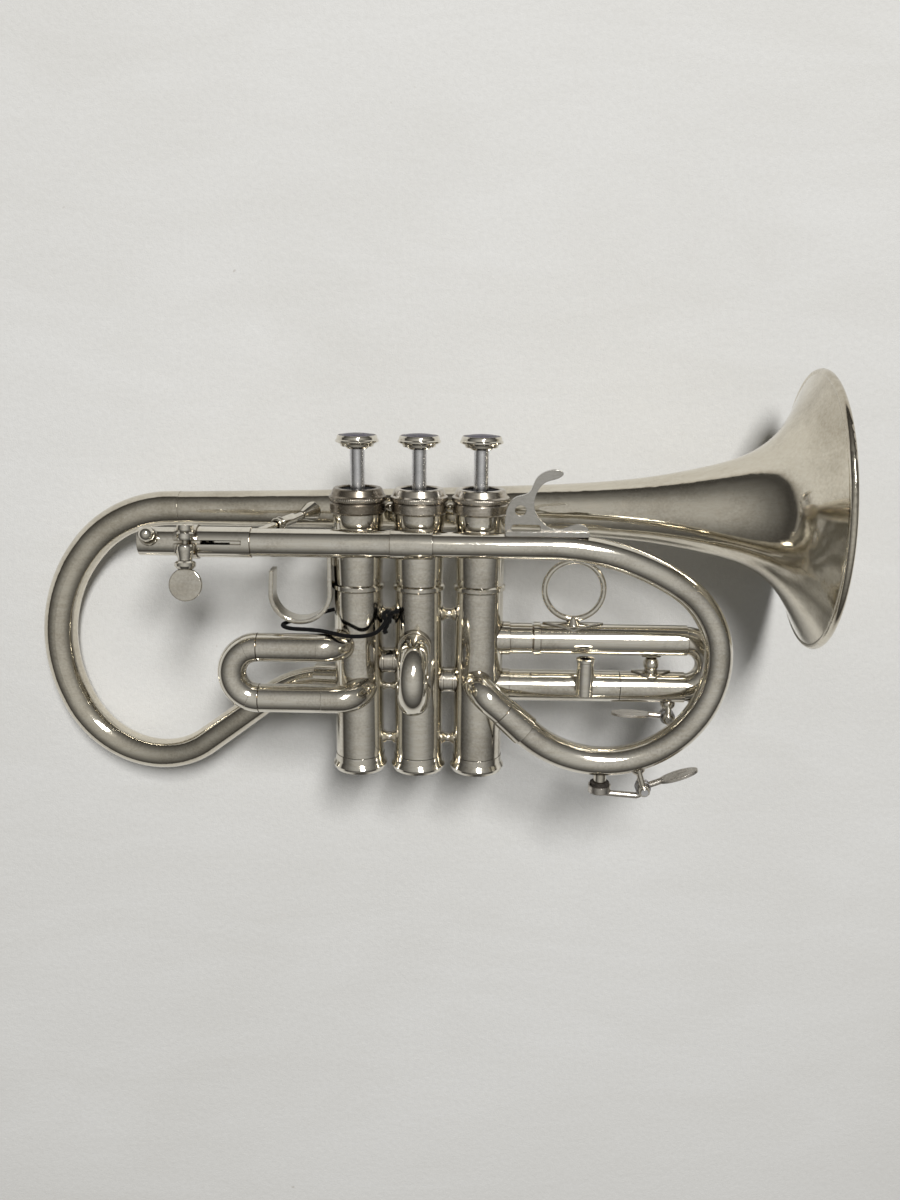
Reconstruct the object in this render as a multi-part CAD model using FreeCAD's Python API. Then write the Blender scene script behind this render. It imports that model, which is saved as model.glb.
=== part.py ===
import FreeCAD, Part
import math
import os

from FreeCAD import Vector

# E flat soprano cornet with three piston valves.
#
# Every size is in millimetres. The pieces are drawn in the instrument's own frame: X runs towards
# the bell, Y runs up the valves towards the finger buttons, and Z points to the player's right.
# The origin of that frame is on the middle valve's axis, at the height of its baluster ring.
# At the end everything is laid down the way the cornet lies at rest, on its bell rim and its crook,
# with +Z up and the origin at the middle of the foot of its box.

# ---- driving dimensions: valve block ----
VALVE_PITCH = 25.0
VALVES = (-VALVE_PITCH, 0.0, VALVE_PITCH)
CASING_RADIUS = 10.25
CASING_WAIST = 9.9
CASING_BORE = 8.35
CASING_TOP = 35.0
CASING_FOOT = -73.4
RING_RADIUS = 10.75
PISTON_RADIUS = 8.30
PISTON_TOP = 26.0
PISTON_FOOT = -58.0
STEM_RADIUS = 3.0
BUTTON_RADIUS = 8.74
BUTTON_LEVEL = 59.5
CAP_FLOOR = 36.6
CAP_TOP = 40.6
KNURL_RADIUS = 11.6
FOOT_CAP_RADIUS = 11.54
FOOT_CAP_LEVEL = -78.1
PORT_BORE = 5.0

# ---- driving dimensions: tubes ----
LEADPIPE_Y = 20.3
LEADPIPE_Z = 15.7
LEADPIPE_RADIUS = 5.65
BELL_Y = 26.4
BELL_Z = -28.6
BELL_START = -105.0
BELL_RIM_X = 163.8
BELL_RIM_RADIUS = 57.8
BELL_LIFT = 1.1
BELL_YAW = 3.3
BELL_WALL = 0.55
TUBE_WALL = 0.5

# ---- driving dimensions: slides ----
FIRST_SLIDE_Z = 14.0
SECOND_SLIDE_BEND = 10.0

# ---- rest on a flat surface ----
REST_PITCH = -5.025
REST_ROLL = 4.871

X_AXIS = Vector(1, 0, 0)
Y_AXIS = Vector(0, 1, 0)
Z_AXIS = Vector(0, 0, 1)


# ---- shape helpers ----

def rod(start, end, radius):
    """A round bar between two points."""
    run = end - start
    return Part.makeCylinder(radius, run.Length, start, run)


def cone(start, end, start_radius, end_radius):
    run = end - start
    return Part.makeCone(start_radius, end_radius, run.Length, start, run)


def ball(centre, radius):
    return Part.makeSphere(radius, centre)


def ring(centre, axis, radius, wire_radius):
    return Part.makeTorus(radius, wire_radius, centre, axis)


def straight_tube(start, end, outer, inner):
    return rod(start, end, outer).cut(rod(start, end, inner))


def rounded_path(points, bends):
    """Straight runs joined by tangent arcs; one bend radius for each inner point."""
    edges = []
    here = points[0]
    for corner, after, radius in zip(points[1:-1], points[2:], bends):
        inward = (here - corner).normalize()
        outward = (after - corner).normalize()
        half_turn = (math.pi - inward.getAngle(outward)) / 2
        reach = radius * math.tan(half_turn)
        start = corner + inward * reach
        end = corner + outward * reach
        middle = (inward + outward).normalize()
        crown = corner + middle * (radius / math.cos(half_turn) - radius)
        if (start - here).Length > 1e-4:
            edges.append(Part.LineSegment(here, start).toShape())
        edges.append(Part.Arc(start, crown, end).toShape())
        here = end
    if (points[-1] - here).Length > 1e-4:
        edges.append(Part.LineSegment(here, points[-1]).toShape())
    return Part.Wire(edges)


def circle_at(point, direction, radius):
    return Part.Wire([Part.makeCircle(radius, point, direction)])


def bent_bar(points, bends, radius):
    """A round bar of one radius along a rounded path."""
    path = rounded_path(points, bends)
    face = Part.Face(circle_at(points[0], points[1] - points[0], radius))
    return path.makePipe(face)


def bent_tube(points, bends, outer, inner):
    return bent_bar(points, bends, outer).cut(bent_bar(points, bends, inner))


def tapered_bar(points, bends, radii):
    """A round bar whose radius grows evenly from the first to the last point."""
    path = rounded_path(points, bends)
    sweep = Part.BRepOffsetAPI.MakePipeShell(path)
    sweep.add(circle_at(points[0], points[1] - points[0], radii[0]), False, False)
    sweep.add(circle_at(points[-1], points[-1] - points[-2], radii[1]), False, False)
    sweep.build()
    sweep.makeSolid()
    return sweep.shape()


def tapered_tube(points, bends, radii, wall):
    inner = tapered_bar(points, bends, [radius - wall for radius in radii])
    return tapered_bar(points, bends, radii).cut(inner)


def turned(profile, axis_point, axis):
    """A solid turned from a closed outline of (radius, height) points about an axis."""
    across = Vector(axis.y, axis.z, axis.x)
    corners = [axis_point + across * radius + axis * height for radius, height in profile]
    face = Part.Face(Part.makePolygon(corners + corners[:1]))
    return face.revolve(axis_point, axis, 360)


def slab(outline, z_low, thickness):
    """A flat plate of the given (x, y) outline, lying across Z."""
    corners = [Vector(x, y, z_low) for x, y in outline]
    curve = Part.BSplineCurve()
    curve.interpolate(Points=corners, PeriodicFlag=True)
    return Part.Face(Part.Wire([curve.toShape()])).extrude(Z_AXIS * thickness)


def joined(pieces):
    return pieces[0].fuse(pieces[1:]).removeSplitter()


def along(point, direction, distance):
    return point + Vector(direction).normalize() * distance


nodes = {}

# ---- tubes that the valve casings take in, drawn first because the casings are cut for them ----

casing_envelopes = [
    rod(Vector(x, CASING_FOOT, 0), Vector(x, CASING_TOP, 0), CASING_RADIUS) for x in VALVES
]


def trimmed(shape, envelopes=casing_envelopes):
    """The part of a piece that stays outside its neighbours."""
    return shape.cut(envelopes)


# ---- bell ----

BELL_STATIONS = [
    (-105.0, 7.4), (-60.0, 7.95), (-10.0, 8.8), (35.0, 9.9), (70.0, 11.35), (100.0, 14.4),
    (120.0, 18.3), (135.0, 22.8), (146.0, 29.6), (153.5, 38.4), (158.8, 48.0), (162.2, 55.6),
]
RIM_BEAD = 1.7
RIM_WIRE = 0.9


def bell_line(offset):
    curve = Part.BSplineCurve()
    curve.interpolate([Vector(x, radius - offset, 0) for x, radius in BELL_STATIONS])
    return curve.toShape()


def lift_bell(shape):
    """Moves a piece turned about the X axis to the bell's place."""
    shape.translate(Vector(0, BELL_Y, BELL_Z))
    start = Vector(BELL_START, BELL_Y, BELL_Z)
    shape.rotate(start, Z_AXIS, BELL_LIFT)
    shape.rotate(start, Y_AXIS, -BELL_YAW)
    return shape


def bell_axis(x):
    """The point of the bell's axis at the given X."""
    reach = x - BELL_START
    rise = reach * math.tan(math.radians(BELL_LIFT))
    return Vector(x, BELL_Y + rise, BELL_Z + reach * math.tan(math.radians(BELL_YAW)))


def bell_pieces():
    outside = bell_line(0.0)
    inside = bell_line(BELL_WALL)
    caps = [
        Part.makeLine(outside.Vertexes[0].Point, inside.Vertexes[0].Point),
        Part.makeLine(outside.Vertexes[-1].Point, inside.Vertexes[-1].Point),
    ]
    sheet = Part.Face(Part.Wire(Part.__sortEdges__([outside, inside] + caps)))
    flare = sheet.revolve(Vector(0, 0, 0), X_AXIS, 360)
    rim_centre = Vector(BELL_RIM_X, 0, 0)
    bead_radius = BELL_RIM_RADIUS - RIM_BEAD
    bead = ring(rim_centre, X_AXIS, bead_radius, RIM_BEAD)
    wire = ring(rim_centre, X_AXIS, bead_radius, RIM_WIRE)
    bell = flare.fuse(bead).cut(wire)
    return lift_bell(bell), lift_bell(wire)


nodes["bell"], nodes["bell_rim_wire"] = bell_pieces()
bell_bar = lift_bell(cone(Vector(-105, 0, 0), Vector(45, 0, 0), 7.5, 10.7))

# ---- bell bow, the crook at the player's end ----

CROOK = [
    Vector(BELL_START - 0.2, BELL_Y, BELL_Z),
    Vector(-133.0, BELL_Y, BELL_Z),
    Vector(-172.2, -23.4, BELL_Z),
    Vector(-136.6, -109.0, BELL_Z + 2.5),
    Vector(-52.4, -43.0, -8.0),
    Vector(-28.0, -42.8, -5.0),
]
CROOK_BENDS = [49.6, 64.8, 40.4, 46.0]
CROOK_RADII = (7.5, 7.1, 5.2)
CROOK_SPLIT = along(CROOK[2], CROOK[3] - CROOK[2], 38.5)


def crook_sweeps(shrink):
    """The bow in two lengths, because it narrows faster on its way into the valve."""
    wide, middle, narrow = [radius - shrink for radius in CROOK_RADII]
    first = tapered_bar(CROOK[:3] + [CROOK_SPLIT], CROOK_BENDS[:2], (wide, middle))
    second = tapered_bar([CROOK_SPLIT] + CROOK[3:], CROOK_BENDS[2:], (middle, narrow))
    return [first, second]


crook_bars = crook_sweeps(0.0)
crook_lengths = [bar.cut(bore) for bar, bore in zip(crook_bars, crook_sweeps(TUBE_WALL))]
nodes["bell_bow"] = Part.makeCompound([crook_lengths[0], trimmed(crook_lengths[1])])
crook_mouth = rod(CROOK[-2], CROOK[-1], CROOK_RADII[-1] - TUBE_WALL - 0.4)


def bow_end_ferrule():
    """Ring where the bow meets the first valve."""
    last = CROOK[-1] - CROOK[-2]
    seat = along(CROOK[-2], last, 8.0)
    ferrule = trimmed(rod(seat, along(seat, last, 12.0), 6.2)).cut(crook_bars[1])
    return ferrule.cut(rod(CROOK[-2], CROOK[-1], CROOK_RADII[-1] - TUBE_WALL))


nodes["bow_end_ferrule"] = bow_end_ferrule()

# ---- leadpipe, its ferrule, the loop below the bell and the elbow into the third valve ----

LEADPIPE_FROM = -73.0
FERRULE_FROM = -10.4
FERRULE_TO = 6.2
LOOP_PATH = [
    Vector(FERRULE_FROM + 8, LEADPIPE_Y, LEADPIPE_Z),
    Vector(81.2, LEADPIPE_Y, LEADPIPE_Z),
    Vector(122.9, -7.2, LEADPIPE_Z),
    Vector(119.0, -72.3, LEADPIPE_Z),
    Vector(58.0, -68.8, LEADPIPE_Z),
    Vector(40.1, -53.0, LEADPIPE_Z),
]
LOOP_BENDS = [97.0, 36.0, 44.5, 48.0]
LOOP_RADII = (5.15, 6.15)
ELBOW_PATH = [LOOP_PATH[-1], Vector(24.5, -39.2, LEADPIPE_Z), Vector(24.5, -39.2, 4.0)]
ELBOW_BEND = 8.5
ELBOW_RADIUS = 5.95


def on_leadpipe(x):
    return Vector(x, LEADPIPE_Y, LEADPIPE_Z)


nodes["leadpipe"] = trimmed(straight_tube(
    on_leadpipe(LEADPIPE_FROM), on_leadpipe(LOOP_PATH[0].x - 0.3), LEADPIPE_RADIUS, 5.1))
nodes["leadpipe_ferrule"] = trimmed(straight_tube(
    on_leadpipe(FERRULE_FROM), on_leadpipe(FERRULE_TO), 6.0, 5.7))
loop_bar = tapered_bar(LOOP_PATH, LOOP_BENDS, LOOP_RADII)
nodes["lead_loop"] = tapered_tube(LOOP_PATH, LOOP_BENDS, LOOP_RADII, TUBE_WALL)

elbow_seat = along(ELBOW_PATH[0], ELBOW_PATH[1] - ELBOW_PATH[0], 0.2)
elbow_points = [elbow_seat] + ELBOW_PATH[1:]
elbow_bar = bent_bar(elbow_points, [ELBOW_BEND], ELBOW_RADIUS)
nodes["valve_3_elbow"] = trimmed(bent_tube(elbow_points, [ELBOW_BEND], ELBOW_RADIUS, 5.4))


def loop_ferrule():
    """A slightly conical ring over the joint between the loop and the elbow."""
    back = ELBOW_PATH[1] - ELBOW_PATH[0]
    start = along(ELBOW_PATH[0], back, -6.0)
    end = along(ELBOW_PATH[0], back, 6.0)
    shell = cone(start, end, 6.75, 6.25)
    return shell.cut([loop_bar, elbow_bar]).cut(rod(start, end, 5.0))


nodes["lead_loop_ferrule"] = loop_ferrule()

# ---- mouthpipe: slotted sleeve, clamp, thumb screw and the receiver that slides in it ----

SLEEVE_FROM = -95.0
SLEEVE_TO = -65.5
SLEEVE_RADIUS = 6.1
SLEEVE_BORE = 5.72
CLAMP_X = -89.9
CLAMP_TILT = 9.0
CLAMP_REACH = 7.7
RECEIVER_FROM = -109.9
RECEIVER_TO = -84.5
RECEIVER_RADIUS = 5.68
RECEIVER_BORE = 4.95
SHANK_DEPTH = 8.0


def tilt_clamp(shape):
    """Turns a piece drawn straight in front of the leadpipe to the clamp's angle about it."""
    shape.rotate(on_leadpipe(0), X_AXIS, -CLAMP_TILT)
    return shape


def at_clamp(y, z):
    return Vector(CLAMP_X, LEADPIPE_Y + y, LEADPIPE_Z + z)


def mouthpipe_sleeve():
    tube = straight_tube(on_leadpipe(SLEEVE_FROM), on_leadpipe(SLEEVE_TO), SLEEVE_RADIUS, SLEEVE_BORE)
    slot = Part.makeBox(27.4, 1.7, 9, Vector(SLEEVE_FROM - 1, LEADPIPE_Y - 0.9, LEADPIPE_Z))
    return tube.cut(tilt_clamp(slot))


def clamp_collar():
    """A split band round the sleeve with a turned lug on each side of the slot."""
    band = straight_tube(on_leadpipe(CLAMP_X - 4.2), on_leadpipe(CLAMP_X + 3.4), SLEEVE_RADIUS + 0.75,
                         SLEEVE_RADIUS + 0.02)
    gap = Part.makeBox(9, 1.7, 9, Vector(CLAMP_X - 4.5, LEADPIPE_Y - 0.85, LEADPIPE_Z))
    upper = turned([(0, 0.85), (3.0, 0.85), (3.3, 1.5), (3.3, 3.4), (2.9, 4.0), (3.3, 4.6), (3.3, 6.6),
                    (2.6, 7.3), (0, 7.3)], at_clamp(0, CLAMP_REACH), Y_AXIS)
    lower = turned([(0, -0.85), (3.1, -0.85), (3.5, -1.6), (3.5, -3.0), (2.8, -6.4), (2.8, -7.2),
                    (0, -7.2)], at_clamp(0, CLAMP_REACH), Y_AXIS)
    body = rod(on_leadpipe(SLEEVE_FROM - 5), on_leadpipe(SLEEVE_TO), SLEEVE_RADIUS + 0.02)
    hole = rod(at_clamp(-9, CLAMP_REACH), at_clamp(5.0, CLAMP_REACH), 1.35)
    return tilt_clamp(joined([band.cut(gap), upper.cut(body), lower.cut(body)]).cut(hole))


def clamp_screw():
    shank = rod(at_clamp(-9, CLAMP_REACH), at_clamp(4.6, CLAMP_REACH), 1.3)
    collar = turned([(0, -7.3), (3.4, -7.3), (4.1, -8.0), (4.1, -9.3), (3.2, -10.4), (0, -10.4)],
                    at_clamp(0, CLAMP_REACH), Y_AXIS)
    disc_centre = at_clamp(-16.6, CLAMP_REACH)
    disc = rod(disc_centre - Z_AXIS * 0.9, disc_centre + Z_AXIS * 0.9, 6.55)
    return tilt_clamp(joined([shank, collar, disc.makeFillet(0.5, disc.Edges)]))


def mouthpiece_receiver():
    shell = rod(on_leadpipe(RECEIVER_FROM), on_leadpipe(RECEIVER_TO), RECEIVER_RADIUS)
    shank_end = RECEIVER_FROM + SHANK_DEPTH
    mouth = rod(on_leadpipe(RECEIVER_FROM), on_leadpipe(shank_end), RECEIVER_BORE)
    taper = cone(on_leadpipe(shank_end), on_leadpipe(RECEIVER_TO), RECEIVER_BORE, 4.6)
    shell = shell.makeFillet(0.4, [shell.Edges[2], shell.Edges[0]])
    return shell.cut([mouth, taper])


def receiver_knob():
    """Ball on a short turned post, brazed on the receiver."""
    lean = Vector(0, math.sin(math.radians(28)), math.cos(math.radians(28)))
    foot = Vector(-104.8, LEADPIPE_Y, LEADPIPE_Z)
    post = rod(along(foot, lean, 4.5), along(foot, lean, 8.5), 1.7)
    washer = rod(along(foot, lean, 5.0), along(foot, lean, 6.6), 3.5)
    knob = joined([post, washer, ball(along(foot, lean, 9.2), 3.0)])
    return knob.cut(rod(on_leadpipe(-112), on_leadpipe(-95), RECEIVER_RADIUS))


nodes["mouthpipe_sleeve"] = mouthpipe_sleeve()
nodes["clamp_collar"] = clamp_collar()
nodes["clamp_screw"] = clamp_screw()
nodes["mouthpiece_receiver"] = joined([mouthpiece_receiver(), receiver_knob()])

# ---- slides ----


def half_turn(first, second, out, radius, turn=180):
    """A bar that leaves the first point along out and comes round to the second one."""
    middle = (first + second) * 0.5
    spin = (first - middle).cross(out)
    return Part.Face(circle_at(first, out, radius)).revolve(middle, spin, turn)


def u_bow(first, second, out, outer, inner):
    return half_turn(first, second, out, outer).cut(half_turn(first, second, out, inner))


FIRST_TOP = Vector(-65.1, -23.4, FIRST_SLIDE_Z)
FIRST_LOW = Vector(-65.1, -45.2, FIRST_SLIDE_Z)
FIRST_LEG = 5.85
FIRST_LEG_BORE = 5.45
FIRST_TUBE = 5.40
FIRST_TUBE_BORE = 4.95
FIRST_TOP_ELBOW = [Vector(-40.5, -23.4, FIRST_SLIDE_Z), Vector(-31.4, -23.4, FIRST_SLIDE_Z),
                   Vector(-31.4, -23.4, 2.0)]
FIRST_LOW_ELBOW = [Vector(-39.0, -45.2, FIRST_SLIDE_Z), Vector(-23.0, -45.2, FIRST_SLIDE_Z),
                   Vector(-23.0, -41.0, 3.0)]


def first_slide_legs():
    """The two fixed legs and their elbows into the first casing."""
    legs = []
    for start, elbow, bend in ((FIRST_TOP, FIRST_TOP_ELBOW, 8.0), (FIRST_LOW, FIRST_LOW_ELBOW, 9.0)):
        leg = straight_tube(start + X_AXIS * 0.3, elbow[0], FIRST_LEG, FIRST_LEG_BORE)
        turn = bent_bar(elbow, [bend], FIRST_LEG + 0.1).cut(bent_bar(elbow, [bend], FIRST_TUBE_BORE))
        legs.append(leg.fuse(turn))
    return trimmed(Part.makeCompound(legs))


def first_slide_bow():
    """The moving bow with its two inner tubes and the ferrules on its ends."""
    left = Vector(-1, 0, 0)
    bore = half_turn(FIRST_TOP, FIRST_LOW, left, FIRST_TUBE_BORE)
    pieces = [half_turn(FIRST_TOP, FIRST_LOW, left, FIRST_LEG).cut(bore)]
    for start, other, elbow in ((FIRST_TOP, FIRST_LOW, FIRST_TOP_ELBOW),
                                (FIRST_LOW, FIRST_TOP, FIRST_LOW_ELBOW)):
        tip = Vector(elbow[0].x - 0.6, start.y, start.z)
        pieces.append(straight_tube(start, tip, FIRST_TUBE, FIRST_TUBE_BORE))
        pieces.append(half_turn(start, other, left, FIRST_LEG + 0.12, 22).cut(bore))
    return joined(pieces)


nodes["first_slide_legs"] = first_slide_legs()
nodes["first_slide_bow"] = first_slide_bow()

SECOND_X = -1.1
SECOND_TOP = Vector(SECOND_X, -23.1, 19.0)
SECOND_LOW = Vector(SECOND_X, -23.1 - 2 * SECOND_SLIDE_BEND, 19.0)
SECOND_LEG = 6.7


def second_slide_legs():
    """Two short stepped legs that stand on the second casing."""
    legs = []
    for tip in (SECOND_TOP, SECOND_LOW):
        root = Vector(tip.x, tip.y, 2.0)
        step = Vector(tip.x, tip.y, 13.5)
        leg = joined([rod(root, tip - Z_AXIS * 0.2, SECOND_LEG - 0.5), rod(root, step, SECOND_LEG)])
        legs.append(leg.cut(rod(root, tip, FIRST_LEG_BORE)))
    return trimmed(Part.makeCompound(legs))


def second_slide_bow():
    pieces = []
    for tip in (SECOND_TOP, SECOND_LOW):
        inner_end = Vector(tip.x, tip.y, 9.6)
        pieces.append(straight_tube(inner_end, tip, FIRST_TUBE, FIRST_TUBE_BORE))
    bow = u_bow(SECOND_TOP, SECOND_LOW, Z_AXIS, SECOND_LEG - 0.5, FIRST_TUBE_BORE)
    return joined([bow] + pieces)


nodes["second_slide_legs"] = second_slide_legs()
nodes["second_slide_bow"] = second_slide_bow()

THIRD_TOP_Y = -22.0
THIRD_LOW_Y = -42.4
THIRD_BOW_X = 111.6
THIRD_SLEEVE_FROM = 48.0
THIRD_JOINT_X = 84.5
THIRD_STUB_TO = 47.3
THIRD_TUBE = 5.90
THIRD_TUBE_BORE = 5.45
THIRD_SLEEVE = 6.45
THIRD_SLEEVE_BORE = 5.95
THIRD_LEG = 6.6
THIRD_ROOT = 28.0


def on_third(x, y, z=0.0):
    return Vector(x, y, z)


def third_slide_legs():
    """Upper leg: an inner tube with a stop collar. Lower leg: an outer tube."""
    root = on_third(THIRD_ROOT, THIRD_TOP_Y)
    stop = on_third(THIRD_STUB_TO, THIRD_TOP_Y)
    upper = straight_tube(root, on_third(THIRD_BOW_X - 6, THIRD_TOP_Y), THIRD_TUBE, THIRD_TUBE_BORE)
    collar = straight_tube(root, stop, THIRD_LEG - 0.1, THIRD_TUBE_BORE)
    low_root = on_third(THIRD_ROOT, THIRD_LOW_Y)
    lower = straight_tube(low_root, on_third(THIRD_JOINT_X - 0.3, THIRD_LOW_Y), THIRD_LEG,
                          THIRD_SLEEVE_BORE)
    necks = [straight_tube(on_third(THIRD_ROOT, y), on_third(38.0, y), 7.0, THIRD_TUBE_BORE)
             for y in (THIRD_TOP_Y, THIRD_LOW_Y)]
    return trimmed(Part.makeCompound([joined([upper, collar, necks[0]]), joined([lower, necks[1]])]))


def third_slide_bow():
    """Upper leg: an outer sleeve. Lower leg: an inner tube. A half turn joins them."""
    end_top = on_third(THIRD_BOW_X, THIRD_TOP_Y)
    end_low = on_third(THIRD_BOW_X, THIRD_LOW_Y)
    sleeve = straight_tube(on_third(THIRD_SLEEVE_FROM, THIRD_TOP_Y), end_top, THIRD_SLEEVE,
                           THIRD_SLEEVE_BORE)
    bead = straight_tube(on_third(THIRD_SLEEVE_FROM, THIRD_TOP_Y),
                         on_third(THIRD_SLEEVE_FROM + 2.6, THIRD_TOP_Y), 7.1, THIRD_SLEEVE_BORE)
    joint = on_third(THIRD_JOINT_X, THIRD_LOW_Y)
    ferrule = straight_tube(joint, end_low, THIRD_SLEEVE + 0.1, THIRD_TUBE_BORE)
    inner = straight_tube(on_third(42.0, THIRD_LOW_Y), end_low, THIRD_TUBE, THIRD_TUBE_BORE)
    bow = u_bow(end_top, end_low, X_AXIS, THIRD_TUBE, THIRD_TUBE_BORE)
    seam = straight_tube(end_top - X_AXIS * 1.5, end_top, THIRD_SLEEVE, THIRD_TUBE_BORE)
    return joined([sleeve, bead, seam, ferrule, inner, bow])


nodes["third_slide_legs"] = third_slide_legs()
nodes["third_slide_bow"] = third_slide_bow()

third_sleeve_bar = rod(on_third(THIRD_SLEEVE_FROM, THIRD_TOP_Y), on_third(THIRD_BOW_X, THIRD_TOP_Y),
                       THIRD_SLEEVE)
third_ferrule_bar = rod(on_third(THIRD_JOINT_X, THIRD_LOW_Y), on_third(THIRD_BOW_X, THIRD_LOW_Y),
                        THIRD_SLEEVE + 0.1)
third_leg_bar = rod(on_third(THIRD_ROOT, THIRD_LOW_Y), on_third(THIRD_JOINT_X, THIRD_LOW_Y), THIRD_LEG)


def saddle(centre, outward, half_length, half_width, tube_radius, thickness=0.8):
    """A thin diamond plate bent over a tube that runs along X; outward is a unit vector."""
    across = X_AXIS.cross(outward)
    axis_point = centre - outward * tube_radius
    corners = [centre + X_AXIS * half_length, centre + across * half_width,
               centre - X_AXIS * half_length, centre - across * half_width]
    corners = [corner - outward * tube_radius for corner in corners]
    block = Part.Face(Part.makePolygon(corners + corners[:1])).extrude(outward * (tube_radius + 3))
    start = axis_point - X_AXIS * (half_length + 1)
    end = axis_point + X_AXIS * (half_length + 1)
    return block.common(straight_tube(start, end, tube_radius + thickness, tube_radius))


BRACE_X = 97.6
RING_CENTRE = Vector(64.2, -0.9, 0)
RING_OUTER = 13.45
RING_WIRE = 1.25


def third_slide_brace():
    """A turned ball post between the moving legs, on diamond plates."""
    top = on_third(BRACE_X, THIRD_TOP_Y - THIRD_SLEEVE)
    low = on_third(BRACE_X, THIRD_LOW_Y + THIRD_SLEEVE + 0.1)
    middle = (top + low) * 0.5
    post = joined([rod(top, low, 1.7), ball(middle, 3.3), rod(low, low + Y_AXIS * 1.6, 2.6)])
    plates = [saddle(top, Vector(0, -1, 0), 4.0, 3.2, THIRD_SLEEVE),
              saddle(low, Y_AXIS, 8.2, 5.6, THIRD_SLEEVE + 0.1)]
    return joined([post.cut([third_sleeve_bar, third_ferrule_bar])] + plates)


def finger_ring():
    """Ring for the finger that pulls the third slide, on a diamond plate."""
    seat = on_third(RING_CENTRE.x, THIRD_TOP_Y + THIRD_SLEEVE)
    loop = ring(RING_CENTRE, Z_AXIS, RING_OUTER - RING_WIRE, RING_WIRE)
    foot = cone(seat, seat + Y_AXIS * 3.0, 3.4, 1.6)
    plate = saddle(seat, Y_AXIS, 12.6, 5.0, THIRD_SLEEVE)
    return joined([loop, foot.cut(third_sleeve_bar), plate])


nodes["third_slide_brace"] = third_slide_brace()
nodes["finger_ring"] = finger_ring()

# ---- lyre socket on the third slide's lower fixed leg ----

LYRE_X = 69.0
LYRE_Z = 10.0
LYRE_RADIUS = 3.5
LYRE_BORE = 2.2
LYRE_LEAN = 34.0


def lyre_socket():
    top = Vector(LYRE_X, -27.4, LYRE_Z)
    foot = Vector(LYRE_X, -43.0, LYRE_Z)
    barrel = straight_tube(foot, top, LYRE_RADIUS, LYRE_BORE)
    lip = straight_tube(top - Y_AXIS * 1.2, top, LYRE_RADIUS + 0.35, LYRE_BORE)
    outward = Vector(0, math.sin(math.radians(LYRE_LEAN)), math.cos(math.radians(LYRE_LEAN)))
    centre = Vector(LYRE_X, THIRD_LOW_Y, 0) + outward * THIRD_LEG
    plate = saddle(centre, outward, 8.6, 4.4, THIRD_LEG)
    web = Part.makeBox(4.4, 5.0, 4.0, Vector(LYRE_X - 2.2, THIRD_LOW_Y - 0.4, 5.4))
    web = web.cut(rod(foot, top, LYRE_BORE))
    return joined([barrel, lip, plate, web]).cut(third_leg_bar)


nodes["lyre_socket"] = lyre_socket()

# ---- valve casings ----


def casing(x):
    """One casing with its baluster ring, bored for the piston."""
    outline = [
        (0, CASING_FOOT), (CASING_RADIUS, CASING_FOOT), (CASING_RADIUS, -30.0),
        (CASING_WAIST + 0.1, -4.0), (CASING_WAIST, -1.4), (RING_RADIUS, -0.8), (RING_RADIUS, 0.8),
        (CASING_WAIST, 1.4), (CASING_WAIST + 0.1, 4.0), (CASING_RADIUS, 12.0),
        (CASING_RADIUS, 25.0), (CASING_RADIUS - 0.2, CASING_TOP), (0, CASING_TOP),
    ]
    centre = Vector(x, 0, 0)
    body = turned(outline, centre, Y_AXIS)
    bore = rod(Vector(x, CASING_FOOT - 1, 0), Vector(x, CASING_TOP + 1, 0), CASING_BORE)
    thread = rod(Vector(x, CASING_FOOT - 1, 0), Vector(x, CASING_FOOT + 5, 0), 9.15)
    return body.cut([bore, thread])


PORT_12_Y = -32.4
PORT_23_Y = -40.6
windows = [
    crook_mouth,
    bent_bar(FIRST_TOP_ELBOW, [8.0], FIRST_TUBE_BORE),
    bent_bar(FIRST_LOW_ELBOW, [9.0], FIRST_TUBE_BORE),
    rod(Vector(SECOND_X, SECOND_TOP.y, 2), SECOND_TOP, FIRST_TUBE_BORE),
    rod(Vector(SECOND_X, SECOND_LOW.y, 2), SECOND_LOW, FIRST_TUBE_BORE),
    rod(on_third(THIRD_ROOT, THIRD_TOP_Y), on_third(40, THIRD_TOP_Y), PORT_BORE),
    rod(on_third(THIRD_ROOT, THIRD_LOW_Y), on_third(40, THIRD_LOW_Y), PORT_BORE),
    bent_bar(elbow_points, [ELBOW_BEND], 5.0),
    rod(Vector(-VALVE_PITCH, PORT_12_Y, 0), Vector(0, PORT_12_Y, 0), 4.6),
    rod(Vector(0, PORT_23_Y, 0), Vector(VALVE_PITCH, PORT_23_Y, 0), 4.6),
]
# The second slide's inner tubes reach into the wall of the second casing.
windows += [rod(Vector(SECOND_X, tip.y, 9.2), tip, FIRST_LEG_BORE) for tip in (SECOND_TOP, SECOND_LOW)]

for number, x in enumerate(VALVES, start=1):
    nodes["valve_casing_%d" % number] = casing(x).cut(windows)


def port_tubes():
    """Short tubes that join each casing to the next."""
    tubes = []
    for left, y in ((0, PORT_12_Y), (1, PORT_23_Y)):
        start = Vector(VALVES[left], y, 0)
        end = Vector(VALVES[left + 1], y, 0)
        middle = (start + end) * 0.5
        body = rod(start, end, 5.3)
        collars = [rod(middle - X_AXIS * side - X_AXIS * 0.4, middle - X_AXIS * side + X_AXIS * 0.4, 5.6)
                   for side in (-2.4, 2.4)]
        tubes.append(body.fuse(collars).cut(rod(start, end, 4.7)))
    return trimmed(Part.makeCompound(tubes))


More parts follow.
